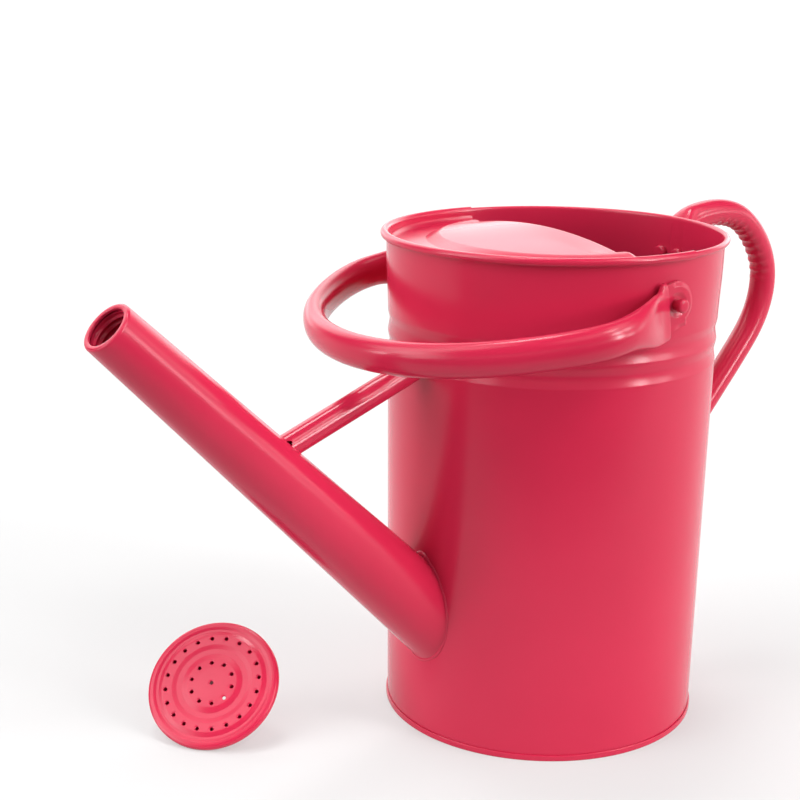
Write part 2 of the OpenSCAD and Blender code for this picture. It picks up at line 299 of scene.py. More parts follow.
def finish_piece(ob, body, nodes, material, sharp=38):
    """Paints a piece, shades it smooth up to an angle, and ties it to its body and the nodes it replaces."""
    ob.data.shade_smooth()
    ob.data.set_sharp_from_angle(angle=math.radians(sharp))
    ob.data.materials.clear()
    ob.data.materials.append(material)
    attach(ob, body)
    if nodes:
        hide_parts(*nodes)
    return ob


def make(name, shape, body, nodes, material, sharp=38):
    return finish_piece(new_object(name, shape), body, nodes, material, sharp)


# ---- curves and tubes -----------------------------------------------------------------------------

def catmull(points, per_piece):
    """Smooth curve through the points, with the given number of steps from each to the next."""
    pts = [np.array(p, float) for p in points]
    n = len(pts)
    out = []
    for i in range(n - 1):
        a, b, c, d = pts[max(i - 1, 0)], pts[i], pts[i + 1], pts[min(i + 2, n - 1)]
        for j in range(per_piece):
            t = j / per_piece
            out.append((2 * b + (c - a) * t + (2 * a - 5 * b + 4 * c - d) * t * t
                        + (3 * b - a - 3 * c + d) * t ** 3) / 2)
    out.append(pts[-1])
    return np.array(out)


def even_curve(points, step, blur):
    """Plane curve through the points, evenly spaced, with its curvature evened out over blur millimetres."""
    dense = catmull(points, 24)
    s = np.concatenate([[0], np.cumsum(np.linalg.norm(np.diff(dense, axis=0), axis=1))])
    n = int(round(s[-1] / step))
    at = np.linspace(0, s[-1], n + 1)
    c = np.stack([np.interp(at, s, dense[:, k]) for k in range(dense.shape[1])], 1)
    half = int(math.ceil(3 * blur / step))
    w = np.exp(-0.5 * (np.arange(-half, half + 1) * step / blur) ** 2)
    w /= w.sum()
    pad_a = 2 * c[0] - c[1:half + 1][::-1]
    pad_b = 2 * c[-1] - c[-half - 1:-1][::-1]
    whole = np.concatenate([pad_a, c, pad_b])
    return np.stack([np.convolve(whole[:, k], w, mode="valid") for k in range(c.shape[1])], 1)


def curve_frames(c):
    """Length along a plane curve and its unit normal, to the left of its direction."""
    s = np.concatenate([[0], np.cumsum(np.linalg.norm(np.diff(c, axis=0), axis=1))])
    d = np.gradient(c, axis=0)
    d /= np.linalg.norm(d, axis=1)[:, None]
    return s, np.stack([-d[:, 1], d[:, 0]], 1)


def signed_power(v, e):
    return math.copysign(abs(v) ** e, v)


# ---- paint ----------------------------------------------------------------------------------------

PAINT = (0.478, 0.0155, 0.051, 1)
PAINT_DEEP = (0.458, 0.0142, 0.0475, 1)
PAINT_LIGHT = (0.498, 0.0168, 0.0545, 1)
ROUGHNESS = (0.205, 0.235)
RIPPLE_DEPTH = 0.0002


def paint_material(name, gloss=0.0, texture=1.0, seed=0.0):
    """Smooth powder coat: slight drift of colour and gloss, and the shallow ripple of the melted powder."""
    mat = bpy.data.materials.new(name)
    mat.use_nodes = True
    nodes, links = mat.node_tree.nodes, mat.node_tree.links
    shader = nodes["Principled BSDF"]
    shader.inputs["Metallic"].default_value = 0.0
    shader.inputs["IOR"].default_value = 1.5
    shader.inputs["Specular IOR Level"].default_value = 0.31
    where = nodes.new("ShaderNodeTexCoord")

    def noise(scale, detail, shift):
        place = nodes.new("ShaderNodeMapping")
        place.inputs["Location"].default_value = (seed + shift, shift * 0.7, seed * 0.3)
        links.new(where.outputs["Object"], place.inputs["Vector"])
        n = nodes.new("ShaderNodeTexNoise")
        n.inputs["Scale"].default_value = scale
        n.inputs["Detail"].default_value = detail
        links.new(place.outputs["Vector"], n.inputs["Vector"])
        return n.outputs["Fac"]

    ramp = nodes.new("ShaderNodeValToRGB")
    ramp.color_ramp.elements[0].position = 0.3
    ramp.color_ramp.elements[0].color = PAINT_DEEP
    ramp.color_ramp.elements[1].position = 0.7
    ramp.color_ramp.elements[1].color = PAINT_LIGHT
    middle = ramp.color_ramp.elements.new(0.5)
    middle.color = PAINT
    links.new(noise(9.0, 3.0, 1.0), ramp.inputs["Fac"])
    links.new(ramp.outputs["Color"], shader.inputs["Base Color"])

    rough = nodes.new("ShaderNodeMapRange")
    rough.inputs["From Min"].default_value = 0.3
    rough.inputs["From Max"].default_value = 0.7
    rough.inputs["To Min"].default_value = ROUGHNESS[0] - gloss
    rough.inputs["To Max"].default_value = ROUGHNESS[1] - gloss
    links.new(noise(40.0, 4.0, 5.0), rough.inputs["Value"])
    links.new(rough.outputs["Result"], shader.inputs["Roughness"])

    ripple = nodes.new("ShaderNodeBump")
    ripple.inputs["Strength"].default_value = 0.05 * texture
    ripple.inputs["Distance"].default_value = RIPPLE_DEPTH
    links.new(noise(900.0, 1.0, 3.0), ripple.inputs["Height"])
    links.new(ripple.outputs["Normal"], shader.inputs["Normal"])
    return mat


body_paint = paint_material("paint_sheet", seed=0.0)
tube_paint = paint_material("paint_tube", gloss=0.01, texture=0.7, seed=2.0)
small_paint = paint_material("paint_fittings", gloss=0.03, texture=0.5, seed=4.0)
rose_paint = paint_material("paint_rose", gloss=-0.02, texture=0.8, seed=6.0)

# ---- barrel ---------------------------------------------------------------------------------------

GROOVE_EDGES = (230.8, 243.9)
GROOVE_DEPTH = 1.0
GROOVE_HALF = 6.3


def groove(z):
    """Depth of the pressed grooves at a height: each has a crisp lower edge and runs out softly above."""
    deepest = 0.0
    for edge in GROOVE_EDGES:
        t = (z - edge) / GROOVE_HALF
        if 0 < t < 1:
            deepest = max(deepest, GROOVE_DEPTH * (1.35 * t - 0.35 * t ** 3))
        elif 1 <= t < 2:
            deepest = max(deepest, GROOVE_DEPTH * (1 - smooth(t - 1)))
    return deepest


def barrel_shape():
    """Wall with its two grooves and the bead that its upper edge is rolled into."""
    heights = [*np.arange(0.85, 224, 6.0), *np.arange(226, 257.1, 0.5), *np.arange(259, 299, 3.0), 300.2]
    outside = [(wall_r(z) - groove(z), z) for z in heights]
    inside = [(r - SHEET, z) for r, z in reversed(outside)]
    bead = [(RIM_MID_R + RIM_D / 2 * math.cos(a), RIM_MID_Z + RIM_D / 2 * math.sin(a))
            for a in np.linspace(math.radians(-118), PI, 31)]
    return Shape().lathe(outside + bead + inside, steps=288)


barrel = new_object("barrel_body", barrel_shape())
SPOUT_HOLE = [(0, -36), (23.4, -36), (20.8, 60), (0, 60)]
cut(barrel, Shape().lathe(SPOUT_HOLE, steps=64).moved(ON_SPOUT))
finish_piece(barrel, "can", ["barrel"], body_paint)


def seam_shape():
    """Lap of the rolled sheet on the inner side: one edge stands up and the other runs out into the wall."""
    rows = []
    for z in np.linspace(1.5, 300.0, 80):
        r = wall_r(z) - groove(z) - SHEET
        row = []
        for along, lift in ((0.0, -0.2), (0.0, 0.25), (0.3, 0.45), (3.0, 0.42), (9.0, 0.1), (13.0, -0.2)):
            a = PI - along / r
            row.append(((r - lift) * math.cos(a), (r - lift) * math.sin(a), z))
        rows.append(row)
    return Shape().grid(rows, wrap_cols=True)


make("barrel_seam", seam_shape(), "can", [], body_paint)


def base_shape():
    """Recessed bottom whose edge turns down and is folded up round the foot of the wall."""
    outer = FOOT_R + 1.0
    inner = FOOT_R - SHEET - 0.3
    profile = [(0.0, 4.2), (inner - SHEET, 4.2), (inner - SHEET, 0.0), (outer, 0.0), (outer, 4.0),
               (FOOT_R + 0.1, 4.0), (FOOT_R + 0.1, 0.8), (inner, 0.8), (inner, 5.0), (0.0, 5.0)]
    radii = [0, 0.5, 0.3, 0.9, 1.2, 0.1, 0, 0, 0.4, 0]
    return Shape().lathe(rounded(profile, radii, steps=5), steps=288)


make("base_pan", base_shape(), "can", ["base_pan"], body_paint)

# ---- splash cover ---------------------------------------------------------------------------------

DOME_XY = np.array([-10.0, -10.0])
CREST_R = 70.5
DOME_FOOT_R = 79.0
CAP_R = 66.0
COVER_EDGE_X = -5.0
COVER_T = 0.8
FLANGE_T = 0.6
FLANGE_TURN = (math.radians(-99.1), math.radians(97.6))
FOLD_R = 3.4


def dome_height(x, y):
    """Height of the cover's upper side over its ledge."""
    dx, dy = x - DOME_XY[0], y - DOME_XY[1]
    r = math.hypot(dx, dy)
    crest = 3.5 - 0.55 * dy / CREST_R
    if r >= CREST_R:
        fall = (DOME_FOOT_R - r) / (DOME_FOOT_R - CREST_R)
        height = max(0.0, 0.75 * crest * fall + 0.25 * crest * smooth(fall))
    else:
        full = crest - 0.15 + 5.0 * (1 - (r / CREST_R) ** 2)
        from_cap = math.hypot(dx, dy + 2.4)
        cap = 1.65 - 0.016 * (dy + 2.4) + 6.9 * (1 - (from_cap / CAP_R) ** 2)
        if from_cap > CAP_R - 3:
            cap = max(cap, crest - (crest - 1.65 + 0.016 * dy) * smooth((CREST_R - r) / 6.5))
        open_end = 1 - smooth((x - COVER_EDGE_X) / 26)
        height = full + (cap - full) * open_end * (1 if r < CREST_R - 6.5 else smooth((CREST_R - r) / 6.5))
    roll = max(0.0, 1 - (x - COVER_EDGE_X) / 3)
    return height - 0.7 * roll ** 2


def flange_shape():
    """Strip that is folded up from the ledge, lies inside the wall and laps over the rim."""
    lap_r = RIM_D / 2 + 0.12 + FLANGE_T
    line = [(RIM_MID_R + lap_r * math.cos(a), RIM_MID_Z + lap_r * math.sin(a))
            for a in np.linspace(math.radians(-38), PI, 14)]
    face = RIM_MID_R - lap_r
    line += [(face, 300.6), (face, LEDGE_Z + FOLD_R + 0.4)]
    line += [(face - FOLD_R * (1 - math.cos(t)), LEDGE_Z + FOLD_R * (1 - math.sin(t)))
             for t in np.linspace(0.1, PI / 2, 9)]
    line += [(face - FOLD_R - 0.5, LEDGE_Z - 0.03), (face - FOLD_R - 1.5, LEDGE_Z - 0.25)]
    line.reverse()
    return Shape().lathe(sheet_outline(line, FLANGE_T), steps=180, turn=FLANGE_TURN)


make("cover_flange", flange_shape(), "can", [], body_paint, sharp=50)


def cover_plate():
    """Ledge and dome, in rows across the can that all begin at the open edge."""
    reach = RIM_MID_R - RIM_D / 2 - 0.12 - FLANGE_T - FOLD_R - 0.1
    count_y, count_x = 300, 170
    y_max = math.sqrt(reach ** 2 - COVER_EDGE_X ** 2) - 0.02
    top = []
    for i in range(count_y + 1):
        y = -y_max * math.cos(PI * i / count_y)
        x_end = math.sqrt(max(reach ** 2 - y * y, 0.0))
        xs = [COVER_EDGE_X + (x_end - COVER_EDGE_X) * k / count_x for k in range(count_x + 1)]
        top.append([(x, y, LEDGE_Z + dome_height(x, y)) for x in xs])
    g = np.array(top)
    normal = np.cross(np.gradient(g, axis=1), np.gradient(g, axis=0))
    normal /= np.maximum(np.linalg.norm(normal, axis=2), 1e-9)[:, :, None]
    normal[normal[:, :, 2] < 0] *= -1
    under = g - normal * COVER_T
    under[:, 0, 0] = COVER_EDGE_X
    lip = []
    for a, b in zip(g[:, 0], under[:, 0]):
        mid = (a + b) / 2
        lip.append([mid + (a - mid) * math.cos(t) - np.array([COVER_T / 2 * math.sin(t), 0, 0])
                    for t in np.linspace(0, PI, 6)])
    shape = Shape().grid(g).grid(under).grid(lip)
    shape.grid([[g[i, -1], under[i, -1]] for i in range(len(g))])
    for i in (0, -1):
        shape.grid([[g[i, k], under[i, k]] for k in range(count_x + 1)])
    return shape


make("cover_dome", cover_plate(), "can", ["splash_cover"], body_paint, sharp=50)

# ---- spout ----------------------------------------------------------------------------------------

LIP_BORE = 11.7
LIP_R = 1.6
MOUTH_CREST_R = 11.2
MOUTH_BACK_R = 14.2


def spout_radius(s):
    return SPOUT_R[0] + (SPOUT_R[1] - SPOUT_R[0]) * s / SPOUT_LEN


def meets_barrel(angle, extra, gap):
    """Distance along the spout's axis at which its line at this angle meets the barrel's outside."""
    u, v = ON_SPOUT[:3, 0], ON_SPOUT[:3, 1]

    def clear(s):
        away = u * math.cos(angle) + v * math.sin(angle)
        p = SPOUT_ROOT + SPOUT_DIR * s + away * (spout_radius(s) + extra)
        return math.hypot(p[0], p[1]) - barrel_r(p[2]) - gap

    return crossing(clear, 80.0, -45.0, 40)


def spout_shape():
    """Tapered tube cut to the barrel, whose end is rolled over into a round lip."""
    around = 128
    end = SPOUT_LEN - LIP_R
    mid_r = spout_radius(end) - LIP_R
    rows = []
    for k in range(around):
        a = 2 * PI * k / around
        foot = meets_barrel(a, 0.0, -0.3)
        line = []
        for j in range(61):
            t = j / 60
            s = foot + (end - foot) * t
            swell = 0.4 * math.exp(-((s - foot) / 3.5) ** 2)
            line.append((spout_radius(s) + swell, s))
        for j in range(1, 11):
            b = PI / 2 * j / 10
            line.append((mid_r + LIP_R * math.cos(b), end + LIP_R * math.sin(b)))
        for j in range(10):
            b = PI / 2 * (1 + j / 9)
            line.append((LIP_BORE + 0.7 + 0.7 * math.cos(b), end + LIP_R - 0.1 - 0.7 * (1 - math.sin(b))))
        line += [(LIP_BORE, end - 0.1), (LIP_BORE + 0.6, end - 0.5), (spout_radius(end) - SHEET, end - 0.6)]
        for j in range(21):
            s = end - 4 + (foot - end + 4) * j / 20
            line.append((spout_radius(s) - SHEET, s))
        rows.append([(r * math.cos(a), r * math.sin(a), z) for r, z in line])
    return Shape().grid(rows, wrap_rows=True, wrap_cols=True).moved(ON_SPOUT)


make("spout_tube", spout_shape(), "can", ["spout_tube"], tube_paint)


def root_bead():
    """Solder bead pressed into the corner between spout and barrel, a little uneven, with a blob on top."""
    around = 160
    rows = []
    u, v = ON_SPOUT[:3, 0], ON_SPOUT[:3, 1]
    for k in range(around):
        a = 2 * PI * k / around
        wide = 1.1 + 0.2 * math.sin(3 * a + 0.7) + 0.15 * math.sin(7 * a + 2.0)
        wide += 2.2 * bell(((a - 3.0 + PI) % (2 * PI)) - PI, 0.0, 0.32)
        s = meets_barrel(a, 0.3, 0.0)
        p = SPOUT_ROOT + SPOUT_DIR * s + (u * math.cos(a) + v * math.sin(a)) * (spout_radius(s) + 0.3)
        out = np.array([p[0], p[1], 0.0])
        out /= np.linalg.norm(out)
        side = u * math.cos(a) + v * math.sin(a)
        side = side - out * float(side @ out)
        side /= np.linalg.norm(side)
        row = []
        for j in range(14):
            b = 2 * PI * j / 14
            row.append(p + side * (wide * math.cos(b)) + out * (min(wide, 2.2) * 0.62 * math.sin(b)))
        rows.append(row)
    return Shape().grid(rows, wrap_rows=True, wrap_cols=True)


make("spout_root_bead", root_bead(), "can", ["spout_flange"], tube_paint)


def threaded_tube(crest_r, depth, back_r, start, end, inward, around=96):
    """Tube with a rounded coarse thread on its inner (inward) or outer side, and a plain other side."""
    rows = []
    n = int((end - start) / 0.35)
    for k in range(around):
        a = 2 * PI * k / around
        line = []
        for j in range(n + 1):
            z = start + (end - start) * j / n
            wave = 0.5 - 0.5 * math.cos(2 * PI * ((z - start) / THREAD_PITCH - a / (2 * PI)))
            wave = wave ** 1.3
            fade = smooth((z - start) / 2.0) * smooth((end - z) / 2.0)
            groove_here = depth * (1 - wave * fade)
            r = crest_r + groove_here if inward else crest_r - groove_here
            line.append((r, z))
        line.append((back_r, end))
        line.append((back_r, start))
        rows.append([(r * math.cos(a), r * math.sin(a), z) for r, z in line])
    return Shape().grid(rows, wrap_rows=True, wrap_cols=True)


mouth = threaded_tube(MOUTH_CREST_R, 1.0, MOUTH_BACK_R, SPOUT_LEN - 17, SPOUT_LEN - 2.8, True)
make("mouth_ring", mouth.moved(ON_SPOUT), "can", ["mouth_ring"], small_paint, sharp=60)

# ---- brace ----------------------------------------------------------------------------------------

BRACE = (np.array([92.0, 0, 238.0]), np.array([196.0, 0, 199.3]))
BRACE_R = 7.3
BRACE_WALL = 1.0
NOTCH_AT = 2.5
NOTCH_DEPTH = 2.6


def brace_shape():
    """Rolled tube cut to the barrel and the spout, dented on its upper side and notched at the spout."""
    axis = BRACE[1] - BRACE[0]
    length = float(np.linalg.norm(axis))
    axis /= length
    up = np.array([-axis[2], 0, axis[0]])
    side = np.cross(axis, up)
    n, m = 90, 64

    def point(s, a, r):
        return BRACE[0] + axis * s + (side * math.cos(a) + up * math.sin(a)) * r

    def off_barrel(p):
        return math.hypot(p[0], p[1]) - wall_r(p[2]) + 0.4

    def off_spout(p):
        q = p - SPOUT_ROOT
        along = float(q @ SPOUT_DIR)
        return float(np.linalg.norm(q - SPOUT_DIR * along)) - spout_radius(along) + 0.25

    def barrel_end(a):
        return crossing(lambda s: off_barrel(point(s, a, BRACE_R)), 40.0, -8.0, 30)

    def spout_end(a):
        return crossing(lambda s: off_spout(point(s, a, BRACE_R)), length - 40.0, length + 20.0, 30)

    outer, inner = [], []
    for k in range(m):
        a = 2 * PI * k / m
        start = barrel_end(a)
        end = spout_end(a) - NOTCH_DEPTH * bell(a, NOTCH_AT, 0.42)
        line, back = [], []
        for i in range(n + 1):
            s = start + (end - start) * i / n
            dent = 0.75 * bell(s, 46.0, 20.0) * bell(a, 2.1, 0.85)
            line.append(point(s, a, BRACE_R - dent))
            back.append(point(s, a, BRACE_R - dent - BRACE_WALL))
        outer.append(line)
        inner.append(back)
    rows = [[*line, *back[::-1]] for line, back in zip(outer, inner)]
    shape = Shape().grid(rows, wrap_rows=True, wrap_cols=True)
    bead = []
    for k in range(m):
        a = 2 * PI * k / m
        size = 0.35 + 0.95 * bell(a, PI + 0.35, 0.75)
        foot = point(spout_end(a), a, BRACE_R)
        away = side * math.cos(a) + up * math.sin(a)
        bead.append([foot + away * (size * math.cos(b)) - axis * (size * math.sin(b))
                     for b in np.linspace(0, 2 * PI, 10, endpoint=False)])
    return shape.join(Shape().grid(bead, wrap_rows=True, wrap_cols=True))


make("spout_brace", brace_shape(), "can", ["spout_brace"], small_paint)

# ---- rear handle ----------------------------------------------------------------------------------

PAD_X = (101.7, 100.8)
HANDLE = [(-PAD_X[0], 269), (-PAD_X[0], 288), (-104.6, 294.2), (-112, 299.8), (-126, 303), (-144, 303.4),
          (-161, 299), (-176, 287), (-187, 270), (-190.5, 254), (-188, 238), (-180, 222), (-165, 203.5),
          (-145, 181), (-125, 158.5), (-111, 142), (-103, 129), (-PAD_X[1], 116), (-PAD_X[1], 99)]
HANDLE_R = 8.5
PAD_HALF_T = 1.7
PAD_HALF_W = 13.6


def flat_tube(curve, sections, m, wrinkle=None):
    """Tube along a plane curve.

    sections(s, total) gives its half sizes in the plane, up and down, and the power that squares its corners.
    """
    s, normal = curve_frames(curve)
    rows = []
    for i in range(len(curve)):
        half_t, half_up, half_down, power = sections(s[i], s[-1])
        row = []
        for k in range(m):
            a = 2 * PI * k / m
            t = half_t * signed_power(math.cos(a), power)
            w = (half_up if math.sin(a) > 0 else half_down) * signed_power(math.sin(a), power)
            if wrinkle:
                t += wrinkle(s[i], a) * math.cos(a)
                w += wrinkle(s[i], a) * math.sin(a)
            row.append((curve[i][0] + normal[i][0] * t, curve[i][1] + normal[i][1] * t, w))
        rows.append(row)
    return rows


handle_curve = even_curve(HANDLE, 1.0, 3.0)


def handle_sections(s, total):
    """The tube is pressed into flat pads at both ends."""
    flat = 1 - smooth((min(s, total - s) - 19) / 23)
    half_w = HANDLE_R * (1 - flat) + PAD_HALF_W * flat
    return HANDLE_R * (1 - flat) + PAD_HALF_T * flat, half_w, half_w, 1 - 0.45 * flat


def handle_wrinkle(s, a):
    """Narrow folds that stand between hollows on the inner side of the upper bend."""
    begin, finish, pitch = 52.0, 146.0, 7.2
    if not begin < s < finish:
        return 0.0
    inner = max(0.0, math.cos(a)) ** 2
    span = smooth((s - begin) / 12) * smooth((finish - s) / 18)
    fold = abs(math.cos(PI * (s - begin) / pitch)) ** 5
    return 1.5 * span * inner * (fold - 0.9)


UPRIGHT = np.array([[1, 0, 0, 0], [0, 0, -1, 0], [0, 1, 0, 0], [0, 0, 0, 1.0]])
CAP_RINGS = ((0.12, 0.35), (0.4, 0.62), (0.8, 0.7))


def end_caps(rows):
    """The tube's rows with closing rings added at both ends, so that its cut edges are round."""
    def cap(row, inner):
        row = np.array(row)
        mid = row.mean(0)
        away = mid - np.array(inner).mean(0)
        away /= np.linalg.norm(away)
        radial = row - mid
        size = np.maximum(np.linalg.norm(radial, axis=1)[:, None], 1e-6)
        rings = [mid + radial * (1 - inset / size) + away * push for inset, push in CAP_RINGS]
        return rings + [np.repeat(mid[None, :] + away * CAP_RINGS[-1][1], len(row), 0)]

    return cap(rows[0], rows[1])[::-1] + rows + cap(rows[-1], rows[-2])


handle_rows = end_caps(flat_tube(handle_curve, handle_sections, 64, handle_wrinkle))
handle_shape = Shape().grid(handle_rows, wrap_cols=True).moved(UPRIGHT)


def clear_of_barrel(p):
    """Pushes a point of a pad out to the barrel's surface."""
    r = math.hypot(p[0], p[1])
    need = wall_r(min(max(p[2], 0), BARREL_H)) + 0.12
    if r < need:
        return np.array([p[0] * need / r, p[1] * need / r, p[2]])
    return p


handle_shape.warp(clear_of_barrel)
make("rear_handle", handle_shape, "can", ["rear_handle"], tube_paint, sharp=50)

# ---- rivets and studs -----------------------------------------------------------------------------

HEAD_R = 4.9
RIVET_Z = (280.0, 112.0)
EAR_Y = 102.2
EAR_T = 2.0
STUD_R = 3.2


def head_profile(r, height, base, crown=0.35):
    """Outline of a flat domed head standing on the plane z = base."""
    pts = [(0.0, base), (r, base), (r, base + height * 0.55), (r * 0.86, base + height * 0.93),
           (0.0, base + height)]
    return rounded(pts, [0, 0.15, height * crown, height * 0.35, 0], steps=5)


def inner_head(z, height, steps):
    """Low head that stands on the inner side of the wall at a height of the barrel."""
    head = Shape().lathe(head_profile(HEAD_R, height, 0.0, 0.25), steps=steps).moved(FLIP_Z)
    return head.moved(frame_matrix((0, 0, wall_r(z) - SHEET - 0.1), (1, 0, 0), (0, 1, 0), (0, 0, 1)))


def rivet_pair(pair):
    """Two rivets side by side through one of the handle's pads, with a head on each side of the wall."""
    z = RIVET_Z[pair]
    angle = math.asin(7.5 / barrel_r(z))
    outer_face = (PAD_X[pair] + PAD_HALF_T + HEAD_R * math.sin(angle)) / math.cos(angle) - 0.15
    shape = Shape()
    for side in (-1, 1):
        place = on_barrel(PI + side * angle, z)
        shape.join(Shape().lathe(head_profile(HEAD_R, 2.2, outer_face), steps=48).moved(place))
        shape.join(inner_head(z, 3.2, 48).moved(place))
    return shape


make("rivets_upper", rivet_pair(0), "can", ["rivets_upper"], small_paint)
make("rivets_lower", rivet_pair(1), "can", ["rivets_lower"], small_paint)


def stud_shape():
    """Two pivots through the wall: spacer, shank and a small head outside, and a low head inside."""
    wall = wall_r(PIVOT_Z)
    start = wall - SHEET - 0.5
    head_from, head_to = EAR_Y + EAR_T + 2.4, EAR_Y + EAR_T + 5.2
    body = [(0, start), (STUD_R, start), (STUD_R, wall), (5.0, wall), (5.0, EAR_Y - 0.3),
            (STUD_R, EAR_Y - 0.3), (STUD_R, head_from), (3.9, head_from), (3.9, head_to - 0.1),
            (2.9, head_to + 0.5), (0, head_to + 0.8)]
    radii = [0, 0, 0, 0, 0.2, 0.1, 0.25, 0.3, 0.6, 0.8, 0]
    shape = Shape()
    for side in (-1, 1):
        one = Shape().lathe(rounded(body, radii, steps=4), steps=40).join(inner_head(PIVOT_Z, 3.0, 40))
        shape.join(one.moved(on_barrel(side * PI / 2, PIVOT_Z)))
    return shape


make("pivot_studs", stud_shape(), "can", ["pivot_studs"], small_paint)

# ---- bail -----------------------------------------------------------------------------------------

BAIL_HALF = [(8, 103.2), (12, 103.6), (20, 107.4), (30, 111.6), (44, 115.2), (62, 115.8), (84, 107),
             (108, 90.5), (129, 68.5), (145, 38)]
BAIL_PATH = BAIL_HALF + [(151.2, 0)] + [(u, -v) for u, v in reversed(BAIL_HALF)]
# Half sizes of the tube's section in the bail's plane and across it, and of its flattened ends
BAIL_TUBE = (7.2, 10.0)
BAIL_END_T = 2.3
BAIL_END_DOWN = 18.6

bail_curve = even_curve(BAIL_PATH, 1.5, 5.0)


def bail_sections(s, total):
    """The tube is pressed flat towards its ends, and upwards only in a short fold at the ear."""
    d = min(s, total - s)
    flat = 1 - smooth((d - 5) / 42)
    half_t = BAIL_TUBE[0] * (1 - flat) + BAIL_END_T * flat
    half_up = BAIL_TUBE[1] + 1.0 * flat + 3.6 * (1 - smooth((d - 2.0) / 3.5))
    half_down = BAIL_TUBE[1] * (1 - flat) + BAIL_END_DOWN * flat
    return half_t, half_up, half_down, 1 - 0.45 * flat


bail_shape = Shape().grid(end_caps(flat_tube(bail_curve, bail_sections, 64)), wrap_cols=True).moved(AT_BAIL)
make("bail_tube", bail_shape, "bail", ["bail_tube"], tube_paint, sharp=50)


def ear_shape(side):
    """D-shaped plate, dished round the stud's hole and bent back along its round edge."""
    hole_r, round_r = 3.28, 13.2
    shoulder, tongue, lower_corner = (7.6, round_r), (11.5, 12.4), (7.0, 14.2)

    def reach(a):
        """Distance from the hole to the plate's edge: the furthest of a circle and three rectangles."""
        c, s = math.cos(a), math.sin(a)
        best = round_r
        if s < 0:
            best = max(best, min(lower_corner[0] / max(abs(c), 1e-6), lower_corner[1] / -s))
        if c > 1e-6:
            for w, h in (shoulder, tongue):
                best = max(best, min(w / c, h / max(abs(s), 1e-6)))
        return best

    n, m = 144, 22
    outer, inner = [], []
    for i in range(n):
        a = 2 * PI * i / n
        far = reach(a)
        round_side = smooth((-math.cos(a) + 0.35) / 0.5)
        top, under = [], []
        for k in range(m + 1):
            r = hole_r + (far - hole_r) * k / m
            dish = -1.15 * (1 - smooth((r - hole_r - 0.8) / 3.6))
            bend = -0.95 * round_side * smooth((r - far + 3.4) / 3.4)
            z = EAR_T + dish + bend
            top.append((r * math.cos(a), r * math.sin(a), z))
            under.append((r * math.cos(a), r * math.sin(a), max(z - 1.5, 0.0)))
        outer.append(top)
        inner.append(under)
    rows = []
    for top, under in zip(outer, inner):
        rows.append([*top, (np.array(top[-1]) + np.array(under[-1])) / 2, *under[::-1]])
    # The plate's own Z points away from the barrel on both sides
    upright = frame_matrix((0, side * EAR_Y, 0), (1, 0, 0), (0, 0, 1), (0, side, 0))
    return Shape().grid(rows, wrap_rows=True, wrap_cols=True).moved(upright).moved(AT_BAIL)


make("bail_ear_left", ear_shape(1), "bail", ["bail_ear_left"], small_paint, sharp=60)
make("bail_ear_right", ear_shape(-1), "bail", ["bail_ear_right"], small_paint, sharp=60)

# ---- rose -----------------------------------------------------------------------------------------

FACE_LINE = [(0, 0.9), (4, 0.9), (10, 0.75), (16.0, 0.35), (19.6, -0.55), (23.0, -0.55), (26.0, 0.05),
             (32.2, 0.05), (34.8, -1.0), (36.4, -1.0), (38.2, -0.5), (40.2, -0.75), (41.5, -1.4),
             (ROSE_R, -2.6), (ROSE_R, -4.24)]
FACE_RADII = [0, 20, 5, 6, 3, 3, 4, 4, 0.9, 0.7, 0.8, 3.0, 1.0, 0.8, 0]
FACE_T = 0.7
# Each ring's radius and its number of holes
SPRAY_RINGS = ((30.1, 20), (13.5, 10))
SPRAY_TURN = math.radians(16)
SPRAY_R = 1.1


def rose_face_shape():
    """Pressed disc with a raised middle, a raised ring and a turned-down rim."""
    line = spaced(rounded(FACE_LINE, FACE_RADII, steps=4, closed=False), 1.6)
    # The sheet's round edge at the axis is left out, because it would cross the axis
    return Shape().lathe(sheet_outline(line, FACE_T)[:-3], steps=180)


rose_face = new_object("rose_face", rose_face_shape())
drill = Shape()
hole_places = [(0.0, 0.0)]
for ring_r, count in SPRAY_RINGS:
    for i in range(count):
        a = SPRAY_TURN + 2 * PI * i / count
        hole_places.append((ring_r * math.cos(a), ring_r * math.sin(a)))
spray_hole = [(0, -6), (SPRAY_R, -6), (SPRAY_R, -0.45), (SPRAY_R + 0.25, -0.12), (SPRAY_R + 0.75, 0.12),
              (SPRAY_R + 2.2, 0.9), (SPRAY_R + 2.2, 3), (0, 3)]
for hx, hy in hole_places:
    one = Shape().lathe(spray_hole, steps=24)
    z = float(np.interp(math.hypot(hx, hy), [p[0] for p in FACE_LINE], [p[1] for p in FACE_LINE]))
    drill.join(one.moved(frame_matrix((hx, hy, z), (1, 0, 0), (0, 1, 0), (0, 0, 1))))
cut(rose_face, drill)
rose_place = AT_ROSE.copy()
rose_place[:3, 3] *= MM
rose_face.data.transform(Matrix(rose_place.tolist()))
finish_piece(rose_face, "rose", ["rose_face"], rose_paint, 40)


def rose_back_shape():
    """Shallow cone from the face's rim to the collar round the neck."""
    edge = ROSE_R - 0.8
    collar = NECK_R + 0.05
    line = [(edge, -3.1), (edge, -4.2), (38, -5.2), (15, -NECK_START), (collar + 0.7, -NECK_START - 2),
            (collar + 0.7, -NECK_START - 4), (collar, -NECK_START - 4), (collar, -NECK_START - 1.4),
            (14.6, -NECK_START + 0.6), (37.6, -4.4), (edge - 1.2, -3.1)]
    radii = [0.2, 0.6, 3.0, 2.0, 1.2, 0.3, 0.2, 1.0, 2.0, 3.0, 0.2]
    return Shape().lathe(rounded(line, radii, steps=5), steps=144).moved(AT_ROSE)


